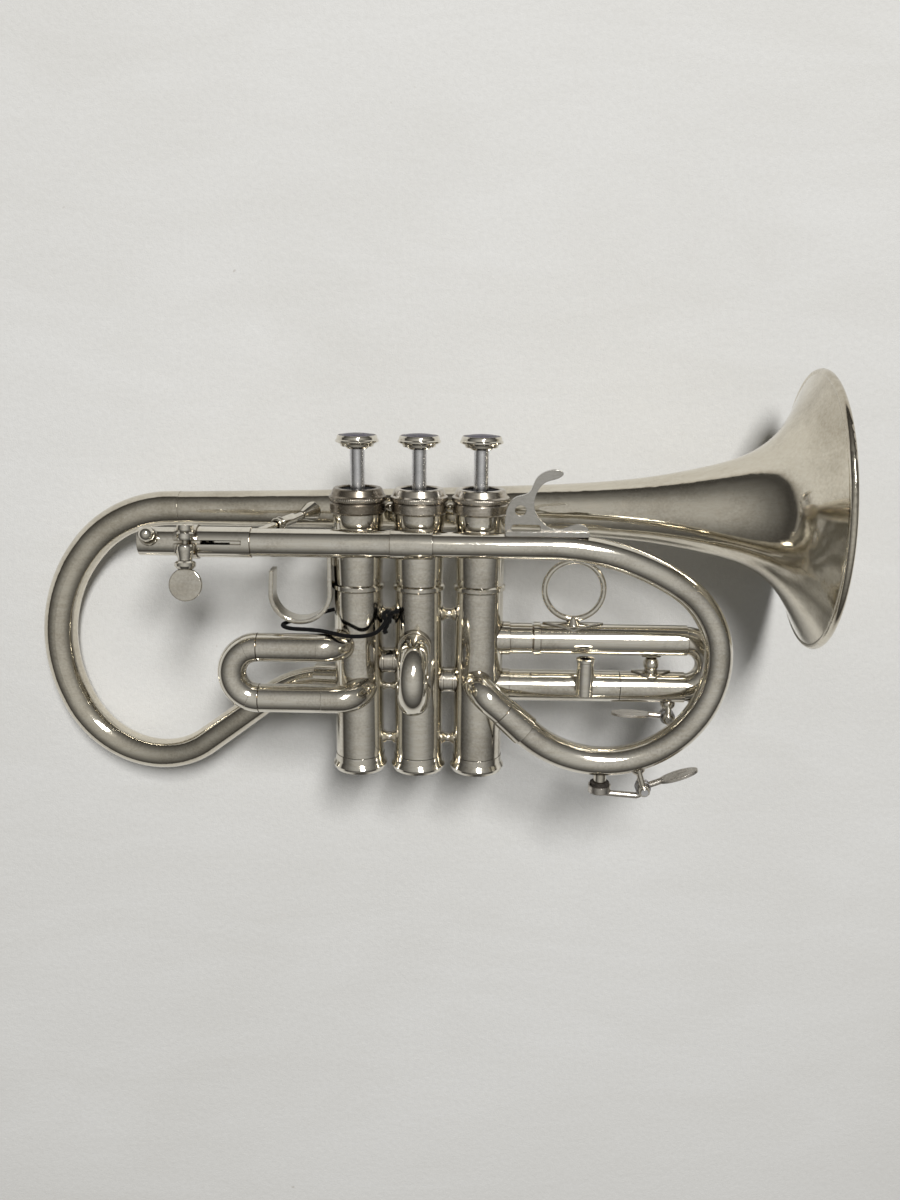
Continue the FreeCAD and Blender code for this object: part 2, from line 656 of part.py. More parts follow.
def turned_brace(left, right, y, z, radius):
    """A turned bar with a bead in its middle and a wide foot on each casing."""
    start = Vector(left, y, z)
    end = Vector(right, y, z)
    middle = (start + end) * 0.5
    bar = rod(start, end, radius)
    bead = ball(middle, radius * 1.25)
    foot_depth = CASING_RADIUS - 2.0
    feet = [cone(along(side, middle - side, foot_depth), middle, radius * 2.6, radius * 0.8)
            for side in (start, end)]
    return trimmed(joined([bar, bead] + feet))


def ball_brace(left, right, y, z):
    start = Vector(left, y, z)
    end = Vector(right, y, z)
    caps = [rod(Vector(x, 30, 0), Vector(x, CAP_TOP, 0), KNURL_RADIUS) for x in VALVES]
    return trimmed(joined([rod(start, end, 0.9), ball((start + end) * 0.5, 1.85)])).cut(caps)


def casing_braces():
    pieces = []
    for left, right in ((VALVES[0], VALVES[1]), (VALVES[1], VALVES[2])):
        pieces.append(ball_brace(left, right, 31.6, -8.0))
        pieces.append(turned_brace(left, right, -11.6, 0.0, 1.9))
        pieces.append(turned_brace(left, right, -66.6, 0.0, 1.7))
    pieces.append(turned_brace(VALVES[0], VALVES[1], -43.6, 0.0, 1.2))
    return Part.makeCompound(pieces)


nodes["port_tubes"] = port_tubes()
nodes["casing_braces"] = casing_braces()

# ---- what goes in each valve ----


def top_cap(x):
    """Screw cap: threaded skirt, knurled band, tapered top with a recess for the felt."""
    outline = [
        (10.3, 30.6), (11.0, 30.6), (11.3, 31.2), (11.3, 34.4), (10.9, 35.1), (KNURL_RADIUS, 35.5),
        (KNURL_RADIUS, 37.3), (10.9, 37.9), (9.95, 40.2), (9.5, CAP_TOP), (7.9, CAP_TOP),
        (7.6, 40.2), (7.6, 38.4), (3.25, 38.4), (3.25, CAP_FLOOR), (8.0, CAP_FLOOR), (8.0, 35.05),
        (10.3, 35.05),
    ]
    return turned(outline, Vector(x, 0, 0), Y_AXIS)


def foot_cap(x):
    """Screw cap at the foot, with a flared edge and a vent."""
    level = FOOT_CAP_LEVEL
    outline = [
        (1.6, level - 1.6), (6.0, level - 2.4), (9.2, level - 2.6), (10.6, level - 2.1),
        (FOOT_CAP_RADIUS - 0.25, level - 0.9), (FOOT_CAP_RADIUS, level),
        (FOOT_CAP_RADIUS - 0.35, level + 0.6), (10.55, level + 1.8),
        (10.4, CASING_FOOT - 0.1), (9.1, CASING_FOOT - 0.1), (9.1, CASING_FOOT + 4.6),
        (8.5, CASING_FOOT + 4.6), (8.5, level + 1.2), (1.6, level + 0.6),
    ]
    return turned(outline, Vector(x, 0, 0), Y_AXIS)


def piston(x):
    """Hollow piston with three slanting passages, and the stem that screws into it."""
    body = rod(Vector(x, PISTON_FOOT, 0), Vector(x, PISTON_TOP, 0), PISTON_RADIUS)
    top_well = rod(Vector(x, -8, 0), Vector(x, PISTON_TOP - 1.2, 0), 7.3)
    foot_well = rod(Vector(x, PISTON_FOOT, 0), Vector(x, PISTON_FOOT + 4, 0), 7.3)
    passages = []
    for y, turn in ((-18.0, 20.0), (-31.0, 80.0), (-44.0, -35.0)):
        across = Vector(math.cos(math.radians(turn)), 0.12, math.sin(math.radians(turn)))
        centre = Vector(x, y, 0)
        passages.append(rod(along(centre, across, -12), along(centre, across, 12), 4.7))
    stem = rod(Vector(x, PISTON_TOP, 0), Vector(x, BUTTON_LEVEL - 3.2, 0), STEM_RADIUS)
    collar = rod(Vector(x, PISTON_TOP, 0), Vector(x, PISTON_TOP + 2.0, 0), 5.2)
    return joined([body.cut([top_well, foot_well] + passages), stem, collar])


def button(x):
    """Finger button with a beaded rim and a stepped underside, recessed for its inlay."""
    level = BUTTON_LEVEL
    outline = [
        (0, level - 3.2), (4.2, level - 3.2), (5.0, level - 2.5), (6.6, level - 2.2), (6.9, level - 1.2),
        (8.0, level - 0.9), (BUTTON_RADIUS, level - 0.4), (BUTTON_RADIUS, level + 0.2),
        (8.3, level + 0.6), (8.1, level + 1.6), (7.75, level + 2.2), (7.5, level + 2.2),
        (7.5, level + 1.0), (0, level + 1.0),
    ]
    return turned(outline, Vector(x, 0, 0), Y_AXIS)


def inlay(x):
    """Slightly crowned disc set in the button."""
    level = BUTTON_LEVEL
    outline = [(0, level + 1.05), (7.45, level + 1.05), (7.45, level + 2.1), (5.0, level + 2.6),
               (2.5, level + 2.85), (0, level + 2.95)]
    return turned(outline, Vector(x, 0, 0), Y_AXIS)


SPRING_WIRE = 0.45
SPRING_TURNS = 6
SPRING_FOOT = -75.4
SPRING_HEAD = PISTON_FOOT + 3.4


def spring(x):
    """Piston spring, drawn as its turns between the guide and the piston's foot well."""
    gap = (SPRING_HEAD - SPRING_FOOT) / (SPRING_TURNS - 1)
    return [ring(Vector(x, SPRING_FOOT + gap * turn, 0), Y_AXIS, 6.0, SPRING_WIRE)
            for turn in range(SPRING_TURNS)]


def guide(x):
    """Cup that seats the spring in the foot cap."""
    outline = [(1.8, -76.8), (7.6, -76.8), (7.6, -75.9), (2.4, -75.9), (2.4, -75.0), (1.8, -75.0)]
    return turned(outline, Vector(x, 0, 0), Y_AXIS)


def cap_felt(x):
    return straight_tube(Vector(x, 38.45, 0), Vector(x, 39.7, 0), 7.5, 3.6)


for number, x in enumerate(VALVES, start=1):
    nodes["top_cap_%d" % number] = top_cap(x)
    nodes["foot_cap_%d" % number] = foot_cap(x)
    nodes["piston_%d" % number] = piston(x)
    nodes["button_%d" % number] = button(x)
    nodes["button_inlay_%d" % number] = inlay(x)
nodes["cap_felts"] = Part.makeCompound([cap_felt(x) for x in VALVES])
nodes["valve_springs"] = Part.makeCompound([turn for x in VALVES for turn in spring(x)])
nodes["spring_guides"] = Part.makeCompound([guide(x) for x in VALVES])

# ---- braces between the long tubes ----


def leadpipe_brace():
    """Beaded rod from the leadpipe back to the bell, with a plate on the bell."""
    front = Vector(-64.5, 23.6, 12.0)
    back = bell_axis(-46.5) + Z_AXIS * 6.5
    run = back - front
    bar = rod(front, back, 1.5)
    sleeve = rod(along(front, run, 13), along(front, run, 23), 2.3)
    beads = [ring(along(front, run, at), run, 2.2, 0.6) for at in (12.6, 15.0)]
    pad = cone(along(back, run, -7.0), back, 1.8, 4.6)
    brace = joined([bar, sleeve, pad] + beads)
    pipe = rod(on_leadpipe(LEADPIPE_FROM - 5), on_leadpipe(0), SLEEVE_RADIUS)
    return brace.cut([pipe, bell_bar])


def bell_braces():
    """Two short posts from the bell to the outer casings."""
    posts = []
    for x in (VALVES[0], VALVES[2]):
        front = Vector(x, 24.5, 0)
        back = bell_axis(x)
        waist = (front + back) * 0.5
        posts.append(joined([rod(front, back, 2.2), cone(waist, back, 2.2, 5.5)]).cut(bell_bar))
    return trimmed(Part.makeCompound(posts))


nodes["leadpipe_brace"] = leadpipe_brace()
nodes["bell_braces"] = bell_braces()

# ---- finger and thumb hooks ----

HOOK_Z = 15.0
HOOK_THICKNESS = 2.2
HOOK_OUTLINE = [
    (55.8, 50.2), (50.6, 50.2), (46.2, 47.0), (43.2, 41.4), (38.8, 39.9), (35.4, 36.0), (34.4, 30.4),
    (35.0, 25.4), (45.0, 24.9), (56.0, 24.9), (65.6, 25.1), (67.2, 27.0), (64.0, 29.3), (59.0, 28.2),
    (53.6, 27.4), (48.6, 30.6), (45.8, 35.6), (46.3, 41.0), (50.0, 45.8), (55.8, 48.0), (56.6, 49.1),
]


def pinky_hook():
    """Flat hook for the little finger, standing on a plate along the leadpipe."""
    plate = slab(HOOK_OUTLINE, HOOK_Z, HOOK_THICKNESS)
    eye = rod(Vector(40.4, 34.6, HOOK_Z - 1), Vector(40.4, 34.6, HOOK_Z + 4), 2.2)
    window = Part.makeBox(11.4, 3.2, 6.0, Vector(37.0, 25.9, HOOK_Z - 2))
    window = window.makeFillet(1.1, [edge for edge in window.Edges if edge.Length == 6.0])
    base = Part.makeBox(33.0, 2.0, 5.4, Vector(34.6, 24.6, HOOK_Z - 1.6))
    base = base.makeFillet(0.8, [edge for edge in base.Edges if edge.Length == 5.4])
    return joined([plate.cut([eye, window]), base]).cut(loop_bar)


THUMB_CENTRE = (-49.0, -2.6)
THUMB_RADIUS = 12.5
THUMB_WIDTH = 9.0
THUMB_THICKNESS = 1.8


def thumb_hook():
    """U-shaped strip for the thumb, brazed to the first casing."""
    x, y = THUMB_CENTRE
    points = [Vector(x + THUMB_RADIUS, 17.0, 0), Vector(x + THUMB_RADIUS, y - THUMB_RADIUS, 0),
              Vector(x - THUMB_RADIUS, y - THUMB_RADIUS, 0), Vector(x - THUMB_RADIUS + 1.2, 6.4, 0)]
    path = rounded_path(points, [THUMB_RADIUS - 0.01, THUMB_RADIUS - 0.9])
    half = THUMB_THICKNESS / 2
    corners = [points[0] + Vector(dx, 0, dz) for dx, dz in
               ((-half, -4.0), (half, -4.0), (half, THUMB_WIDTH - 4.0), (-half, THUMB_WIDTH - 4.0))]
    strip = path.makePipe(Part.Face(Part.makePolygon(corners + corners[:1])))
    foot = Part.makeBox(2.4, 9.0, 7.0, Vector(x + THUMB_RADIUS - 0.4, 8.5, -3.2))
    return trimmed(joined([strip, foot]))


nodes["pinky_hook"] = pinky_hook()
nodes["thumb_hook"] = thumb_hook()

# ---- water keys ----

KEY_PIN = 0.8
KEY_BARREL = 2.4


def water_key(hinge, cork_at, spade_to, nipple_up, spade_lift):
    """Lever, cork, saddle, screw and spring of one water key; the hinge pin runs along Z."""
    side = Vector(0, 0, 1)
    barrel = straight_tube(hinge - side * 2.6, hinge + side * 2.6, KEY_BARREL, KEY_PIN + 0.05)
    reach = spade_to - hinge
    knee = hinge + reach * 0.35 + spade_lift
    arm = rod(hinge, knee, 1.3)
    leaf_run = spade_to - knee
    normal = Vector(-leaf_run.y, leaf_run.x, 0).normalize()
    leaf = Part.makeCylinder(4.0, 1.1, Vector(0, 0, 0), Vector(0, 0, 1))
    stretch = FreeCAD.Matrix()
    stretch.scale(leaf_run.Length / 8.0 * 1.15, 1.0, 1.0)
    leaf = leaf.transformGeometry(stretch)
    turn = FreeCAD.Rotation(Vector(leaf_run).normalize(), side, normal, "ZXY")
    leaf.Placement = FreeCAD.Placement((knee + spade_to) * 0.5 - normal * 0.55, turn)
    cup_foot = cork_at - nipple_up * 4.2
    cup = rod(cup_foot, cork_at - nipple_up * 1.2, 4.7).cut(
        rod(cork_at - nipple_up * 3.0, cork_at, 4.0))
    bar = bent_bar([hinge, hinge - nipple_up * 4.0, cup_foot - nipple_up * 0.6, cup_foot + nipple_up * 0.6],
                   [3.0, 0.5], 1.3)
    pin_hole = rod(hinge - side * 9, hinge + side * 9, KEY_PIN + 0.05)
    lever = joined([barrel, arm, leaf, cup, bar]).cut(pin_hole)
    cork = rod(cork_at - nipple_up * 2.95, cork_at, 3.95)
    lever = lever.cut(cork)
    screw = joined([rod(hinge - side * 5.0, hinge + side * 5.0, KEY_PIN),
                    rod(hinge + side * 5.0, hinge + side * 5.9, 1.5)])
    spring_turns = [ring(hinge + side * z, side, KEY_BARREL + 0.5, 0.28) for z in (-1.6, 1.6)]
    return lever, cork, screw, Part.makeCompound(spring_turns)


def key_saddle(hinge, tube_point, nipple_base, nipple_top):
    """Two posts that hold the hinge screw, and the spit hole's nipple."""
    side = Vector(0, 0, 1)
    pieces = []
    for sign in (-1, 1):
        near = hinge + side * (3.0 * sign)
        far = hinge + side * (4.8 * sign)
        ear = rod(near, far, 2.3)
        post = rod((near + far) * 0.5, tube_point + side * (1.8 * sign), 1.2)
        pieces.append(ear.fuse(post))
    hole = rod(hinge - side * 9, hinge + side * 9, KEY_PIN + 0.05)
    posts = joined(pieces + [ball(tube_point, 3.2)]).cut(hole)
    nipple = straight_tube(nipple_base, nipple_top, 2.6, 1.4)
    return posts, nipple


LOOP_KEY_HINGE = Vector(94.3, -81.2, LEADPIPE_Z)
LOOP_KEY_CORK = Vector(76.3, -79.0, LEADPIPE_Z)
LOOP_KEY_SPADE = Vector(115.6, -73.2, LEADPIPE_Z)
THIRD_KEY_HINGE = Vector(105.6, -55.4, 0)
THIRD_KEY_CORK = Vector(117.6, -52.2, 0)
THIRD_KEY_SPADE = Vector(83.0, -54.4, 0)


def loop_key():
    up = Vector(0, 1, 0)
    lever, cork, screw, coil = water_key(
        LOOP_KEY_HINGE, LOOP_KEY_CORK, LOOP_KEY_SPADE, up, Vector(0, 0.2, 0))
    posts, nipple = key_saddle(LOOP_KEY_HINGE, Vector(91.8, -72.5, LEADPIPE_Z),
                               Vector(76.3, -72.0, LEADPIPE_Z), Vector(76.3, -78.9, LEADPIPE_Z))
    saddle_piece = Part.makeCompound([posts.cut([loop_bar, rod(
        LOOP_KEY_HINGE - Z_AXIS * 2.9, LOOP_KEY_HINGE + Z_AXIS * 2.9, 3.4)]), nipple.cut(loop_bar)])
    return saddle_piece, lever, cork, screw, coil


def third_key():
    up = Vector(-0.25, 0.97, 0).normalize()
    lever, cork, screw, coil = water_key(
        THIRD_KEY_HINGE, THIRD_KEY_CORK, THIRD_KEY_SPADE, up, Vector(0, 0.2, 0))
    bow_bar = half_turn(on_third(THIRD_BOW_X, THIRD_LOW_Y), on_third(THIRD_BOW_X, THIRD_TOP_Y), X_AXIS,
                        THIRD_TUBE)
    posts, nipple = key_saddle(THIRD_KEY_HINGE, Vector(105.6, -49.6, 0),
                               Vector(116.0, -46.0, 0), Vector(117.58, -52.1, 0))
    clear = rod(THIRD_KEY_HINGE - Z_AXIS * 2.9, THIRD_KEY_HINGE + Z_AXIS * 2.9, 3.4)
    saddle_piece = Part.makeCompound([
        posts.cut([third_ferrule_bar, clear]), nipple.cut([bow_bar, third_ferrule_bar])])
    return saddle_piece, lever, cork, screw, coil


for name, pieces in (("loop_key", loop_key()), ("third_key", third_key())):
    for part_name, shape in zip(("saddle", "lever", "cork", "screw", "spring"), pieces):
        nodes["%s_%s" % (name, part_name)] = shape

# ---- cord tied round the first casing and the thumb hook ----

CORD_RADIUS = 0.7
KNOT_CENTRE = Vector(-12.6, -11.4, 5.6)
CORD_ROUTE = [
    KNOT_CENTRE + Vector(0.2, -0.6, 1.6), Vector(-14.4, -16.0, 10.6), Vector(-19.6, -18.2, 13.8),
    Vector(-28.5, -17.3, 17.8), Vector(-36.5, -16.2, 14.6), Vector(-44.5, -16.9, 9.4),
    Vector(-54.5, -17.4, 6.8), Vector(-59.2, -17.0, 2.4), Vector(-55.5, -16.9, -3.4),
    Vector(-46.0, -14.9, -7.4), Vector(-36.0, -13.2, -11.4), Vector(-25.0, -12.4, -13.2),
    Vector(-15.0, -12.6, -10.0), Vector(-12.2, -15.9, -3.6), Vector(-12.4, -15.6, 2.2),
    KNOT_CENTRE + Vector(0.0, -1.6, -0.8),
]
KNOT_TURNS = ((20, 0, 2.2), (65, 70, 2.0), (-40, 130, 2.1))
CORD_TIPS = (Vector(-1.0, -6.8, 2.2), Vector(4.4, 2.6, 2.4))


def cord_bends(route):
    """The largest radius that the two runs at each corner leave room for."""
    radii = []
    for before, corner, after in zip(route, route[1:], route[2:]):
        inward = before - corner
        outward = after - corner
        half_turn = (math.pi - inward.getAngle(outward)) / 2
        radii.append(0.45 * min(inward.Length, outward.Length) / math.tan(half_turn))
    return radii


def tied_cord():
    """The strand's round trip, its knot beside the brace and the two loose ends."""
    strand = bent_bar(CORD_ROUTE, cord_bends(CORD_ROUTE), CORD_RADIUS)
    pieces = [strand]
    for lean, turn, radius in KNOT_TURNS:
        lean = math.radians(lean)
        turn = math.radians(turn)
        axis = Vector(math.cos(lean) * math.cos(turn), math.sin(lean), math.cos(lean) * math.sin(turn))
        pieces.append(ring(KNOT_CENTRE, axis, radius - CORD_RADIUS, CORD_RADIUS))
    for tip in CORD_TIPS:
        root = KNOT_CENTRE + Vector(0, 0, 0.6)
        pieces.append(rod(root, KNOT_CENTRE + tip, CORD_RADIUS))
    return joined(pieces)


nodes["tied_cord"] = tied_cord()

# ---- lay everything down at rest and write it out ----

LAY_DOWN = FreeCAD.Placement(Vector(0, 0, 0), FreeCAD.Rotation(Y_AXIS, REST_PITCH)).multiply(
    FreeCAD.Placement(Vector(0, 0, 0), FreeCAD.Rotation(X_AXIS, REST_ROLL)))


def laid(shape):
    shape = shape.copy()
    shape.Placement = LAY_DOWN.multiply(shape.Placement)
    return shape


resting = {name: laid(shape) for name, shape in nodes.items()}
box = FreeCAD.BoundBox()
for shape in resting.values():
    box.add(shape.optimalBoundingBox(False))
FOOT = Vector(-(box.XMin + box.XMax) / 2, -(box.YMin + box.YMax) / 2, -box.ZMin)

os.makedirs("parts", exist_ok=True)
for name, shape in resting.items():
    shape.translate(FOOT)
    shape.exportStep("parts/%s.step" % name)
print("nodes", len(resting), "size", box.XLength, box.YLength, box.ZLength)
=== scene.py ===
import math

import bpy
import bmesh
from mathutils import Matrix, Vector


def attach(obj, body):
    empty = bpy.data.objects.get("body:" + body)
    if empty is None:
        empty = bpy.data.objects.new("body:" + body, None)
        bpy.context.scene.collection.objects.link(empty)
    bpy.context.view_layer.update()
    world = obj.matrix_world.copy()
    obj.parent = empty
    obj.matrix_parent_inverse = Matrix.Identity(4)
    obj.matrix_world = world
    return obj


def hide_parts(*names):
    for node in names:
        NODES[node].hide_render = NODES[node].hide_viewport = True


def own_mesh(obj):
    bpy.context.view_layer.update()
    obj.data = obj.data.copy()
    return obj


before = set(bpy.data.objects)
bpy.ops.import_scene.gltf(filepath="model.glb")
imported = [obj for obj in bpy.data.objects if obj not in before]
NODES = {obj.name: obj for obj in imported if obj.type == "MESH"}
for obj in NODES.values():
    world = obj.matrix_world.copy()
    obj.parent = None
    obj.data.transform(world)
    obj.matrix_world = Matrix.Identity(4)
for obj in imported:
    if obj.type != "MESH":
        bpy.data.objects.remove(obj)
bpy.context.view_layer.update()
MM = 0.001

# ---- the instrument's own axes: X to the bell, Y up the valves, Z to the viewer ----

REST_PITCH = -5.025
REST_ROLL = 4.871
VALVE_2_MM = Vector((-3.5497, -0.3635, 53.2558))
PLACE = (Matrix.Translation(VALVE_2_MM * MM)
         @ Matrix.Rotation(math.radians(REST_PITCH), 4, "Y")
         @ Matrix.Rotation(math.radians(REST_ROLL), 4, "X"))


def at(x, y, z):
    """A point of the instrument, given in mm along its own axes, in the row frame in metres."""
    return PLACE @ (Vector((x, y, z)) * MM)


def along(x, y, z):
    """A direction of the instrument in the row frame."""
    return (PLACE.to_3x3() @ Vector((x, y, z))).normalized()


# ---- camera ----

# Lens and sensor in mm. The place and the directions are in the instrument's own axes.
CAMERA_LENS = 31.2
SENSOR_HEIGHT = 36.0
SENSOR_WIDTH = 27.0
CLIP_START = 0.01
CLIP_END = 50.0
CAMERA_PLACE = (20.7, 99.0, 418.9)
CAMERA_BACK = (0.018, 0.243, 0.970)
CAMERA_RIGHT = (1.0, 0.010, -0.021)


def make_camera():
    data = bpy.data.cameras.new("camera")
    data.sensor_fit = "VERTICAL"
    data.sensor_height = SENSOR_HEIGHT
    data.sensor_width = SENSOR_WIDTH
    data.lens = CAMERA_LENS
    data.clip_start = CLIP_START
    data.clip_end = CLIP_END
    camera = bpy.data.objects.new("camera", data)
    bpy.context.scene.collection.objects.link(camera)
    back = along(*CAMERA_BACK)
    right = along(*CAMERA_RIGHT)
    up = back.cross(right).normalized()
    right = up.cross(back).normalized()
    camera.matrix_world = (Matrix.Translation(at(*CAMERA_PLACE))
                           @ Matrix((right, up, back)).transposed().to_4x4())
    bpy.context.scene.camera = camera


make_camera()

# ---- node helpers ----


class Graph:
    """Short calls for building a node tree."""

    def __init__(self, tree):
        self.tree = tree

    def add(self, kind, inputs=None, **settings):
        node = self.tree.nodes.new(kind)
        for name, value in settings.items():
            setattr(node, name, value)
        for key, value in (inputs or {}).items():
            if isinstance(value, bpy.types.NodeSocket):
                self.tree.links.new(value, node.inputs[key])
            else:
                node.inputs[key].default_value = value
        return node

    def math(self, operation, *values):
        return self.add("ShaderNodeMath", dict(enumerate(values)), operation=operation).outputs[0]

    def noise(self, vector, scale, detail=3.0, rough=0.55, distortion=0.0):
        return self.add("ShaderNodeTexNoise", {
            "Vector": vector, "Scale": scale, "Detail": detail, "Roughness": rough,
            "Distortion": distortion}).outputs["Fac"]

    def ramp(self, factor, stops):
        node = self.add("ShaderNodeValToRGB", {"Fac": factor})
        ramp = node.color_ramp
        while len(ramp.elements) < len(stops):
            ramp.elements.new(0.5)
        for element, (position, colour) in zip(ramp.elements, stops):
            element.position = position
            element.color = (*colour, 1.0)
        return node.outputs["Color"]

    def spread(self, value, low, high, to_low, to_high):
        return self.add("ShaderNodeMapRange", {
            "Value": value, "From Min": low, "From Max": high, "To Min": to_low,
            "To Max": to_high}).outputs["Result"]

    def mix(self, factor, a, b):
        """Colour a at factor 0 and b at 1. In RGBA mode these are sockets 6, 7 and output 2."""
        node = self.add("ShaderNodeMix", data_type="RGBA")
        for key, value in ((0, factor), (6, a), (7, b)):
            if isinstance(value, bpy.types.NodeSocket):
                self.tree.links.new(value, node.inputs[key])
            else:
                node.inputs[key].default_value = (*value, 1.0) if key else value
        return node.outputs[2]

    def stretched(self, vector, scale):
        return self.add("ShaderNodeMapping", {"Vector": vector, "Scale": scale}).outputs[0]

    def bump(self, height, strength, distance, normal=None):
        inputs = {"Height": height, "Strength": strength, "Distance": distance}
        if normal is not None:
            inputs["Normal"] = normal
        return self.add("ShaderNodeBump", inputs).outputs[0]


def new_material(name):
    material = bpy.data.materials.new(name)
    material.use_nodes = True
    graph = Graph(material.node_tree)
    shader = material.node_tree.nodes["Principled BSDF"]
    place = graph.add("ShaderNodeTexCoord").outputs["Object"]
    return material, graph, shader, place


def plug(graph, shader, **sockets):
    for name, value in sockets.items():
        key = name.replace("_", " ")
        if isinstance(value, bpy.types.NodeSocket):
            graph.tree.links.new(value, shader.inputs[key])
        else:
            shader.inputs[key].default_value = value


# Reach of the occlusion that paints tarnish and shade into corners and seams.
CORNER_REACH = 0.0035
SEAM_REACH = 0.0007
PLATE_BUMP = 0.001


def plated(name, clean, dull, tarnish_and_shade, rough, ripple=0.05, tarnish_and_shade_from=0.62, scratches=0.0,
           edge=0.0002):
    """Silver or nickel plate: clouds of dullness, wiped streaks, specks, soft edges, seams and corners
    dark with tarnish and painted shade.
    """
    material, graph, shader, place = new_material(name)
    clouds = graph.noise(place, 34.0, 4.0, 0.6, 0.4)
    specks = graph.noise(place, 900.0, 2.0, 0.6)
    wipes = graph.noise(graph.stretched(place, (90.0, 700.0, 700.0)), 1.0, 3.0, 0.6, 0.2)
    fine = graph.noise(graph.stretched(place, (500.0, 4200.0, 4200.0)), 1.0, 2.0, 0.5)
    # Painted shade: occlusion finds corners and seams, where shade falls, and darkens them toward the
    # tarnish colour, which also stands for real tarnish in the crevices.
    corner_shade = graph.add("ShaderNodeAmbientOcclusion", {"Distance": CORNER_REACH}, samples=6).outputs["AO"]
    seam_shade = graph.add("ShaderNodeAmbientOcclusion", {"Distance": SEAM_REACH}, samples=6).outputs["AO"]
    rounded = graph.add("ShaderNodeBevel", {"Radius": edge}, samples=4).outputs["Normal"]
    # Random stains, raised in occluded corners: part of this mask is painted shade.
    dirt_and_corner_shade = graph.math("SUBTRACT", graph.math("ADD", clouds, graph.math("MULTIPLY", specks, 0.35)),
                      graph.math("MULTIPLY", corner_shade, 0.22))
    stain_and_shade = graph.spread(dirt_and_corner_shade, tarnish_and_shade_from - 0.22, tarnish_and_shade_from + 0.16, 0.0, 1.0)
    tone = graph.mix(graph.spread(wipes, 0.3, 0.75, 0.0, 1.0), clean, dull)
    grime_and_shade = graph.math("MAXIMUM", graph.spread(corner_shade, 0.1, 0.75, 0.85, 0.0),
                       graph.spread(seam_shade, 0.55, 0.93, 1.0, 0.0))
    darkened = graph.math("MAXIMUM", graph.math("MULTIPLY", stain_and_shade, 0.5), grime_and_shade)
    colour = graph.mix(darkened, tone, tarnish_and_shade)
    roughness = graph.math("ADD", graph.spread(wipes, 0.3, 0.8, rough[0], rough[1]),
                           graph.math("MULTIPLY", stain_and_shade, 0.06))
    height = graph.math("ADD", graph.noise(place, 120.0, 2.0, 0.4),
                        graph.math("MULTIPLY", fine, scratches))
    plug(graph, shader, Base_Color=colour, Metallic=1.0, Roughness=roughness,
         Normal=graph.bump(height, ripple, PLATE_BUMP, rounded))
    return material


def plain_metal(name, light, dark, rough, grain=(300.0, 300.0, 4000.0), grain_strength=0.12):
    """Drawn or turned steel with a fine grain."""
    material, graph, shader, place = new_material(name)
    lines = graph.noise(graph.stretched(place, grain), 1.0, 3.0, 0.6)
    clouds = graph.noise(place, 220.0, 3.0, 0.6)
    plug(graph, shader, Base_Color=graph.mix(graph.spread(clouds, 0.3, 0.7, 0.0, 1.0), light, dark),
         Metallic=1.0, Roughness=graph.spread(lines, 0.3, 0.7, rough[0], rough[1]),
         Normal=graph.bump(lines, grain_strength, 0.0004))
    return material


def soft_matter(name, light, dark, scale, rough, strength, distance, sheen=0.0, cells=False):
    """Felt, cork and other matt matter: blotched colour and a rough surface."""
    material, graph, shader, place = new_material(name)
    fuzz = graph.noise(place, scale, 5.0, 0.7, 0.6)
    if cells:
        pits = graph.add("ShaderNodeTexVoronoi", {
            "Vector": place, "Scale": scale * 0.9}).outputs["Distance"]
        fuzz = graph.math("ADD", graph.math("MULTIPLY", fuzz, 0.6),
                          graph.math("MULTIPLY", pits, 0.5))
    plug(graph, shader, Base_Color=graph.mix(graph.spread(fuzz, 0.3, 0.7, 0.0, 1.0), dark, light),
         Roughness=graph.spread(fuzz, 0.2, 0.8, rough[0], rough[1]),
         Normal=graph.bump(fuzz, strength, distance))
    shader.inputs["Sheen Weight"].default_value = sheen
    shader.inputs["Sheen Roughness"].default_value = 0.6
    shader.inputs["Specular IOR Level"].default_value = 0.15
    return material


CLEAN_SILVER = (0.83, 0.80, 0.725)
DULL_SILVER = (0.75, 0.705, 0.605)
# The dark colour of tarnish, also used for the painted shade in corners and seams.
TARNISH_AND_SHADE = (0.16, 0.115, 0.06)

MATERIALS = {
    "bell_silver": plated("bell_silver_plate", (0.77, 0.73, 0.63), (0.69, 0.635, 0.53), TARNISH_AND_SHADE,
                          (0.05, 0.13), 0.035),
    "silver": plated("silver_plate", CLEAN_SILVER, DULL_SILVER, TARNISH_AND_SHADE, (0.05, 0.14), 0.05),
    "cap_silver": plated("cap_plate", (0.78, 0.73, 0.65), (0.50, 0.45, 0.37), (0.07, 0.055, 0.04),
                         (0.12, 0.28), 0.08, 0.5),
    "key_silver": plated("key_plate", (0.78, 0.75, 0.70), (0.66, 0.62, 0.56), (0.20, 0.17, 0.13),
                         (0.16, 0.32), 0.12, 0.55, 0.5),
    "nickel": plated("nickel_plate", (0.58, 0.565, 0.53), (0.46, 0.445, 0.41), (0.20, 0.18, 0.15),
                     (0.16, 0.28), 0.05, 0.55, 0.2),
    "steel": plain_metal("steel", (0.72, 0.72, 0.73), (0.60, 0.605, 0.62), (0.24, 0.32),
                         (700.0, 700.0, 700.0), 0.012),
    "spring_wire": plain_metal("spring_wire", (0.55, 0.55, 0.58), (0.40, 0.40, 0.42), (0.25, 0.4)),
    "guide_plastic": soft_matter("guide_plastic", (0.80, 0.78, 0.72), (0.70, 0.68, 0.62), 600.0,
                                 (0.35, 0.55), 0.1, 0.0003),
    "felt": soft_matter("black_felt", (0.03, 0.03, 0.034), (0.008, 0.008, 0.01), 1500.0,
                        (0.85, 1.0), 0.8, 0.0006),
    "cork": soft_matter("black_cork", (0.06, 0.052, 0.045), (0.012, 0.011, 0.01), 1100.0,
                        (0.6, 0.9), 0.7, 0.0005, cells=True),
}


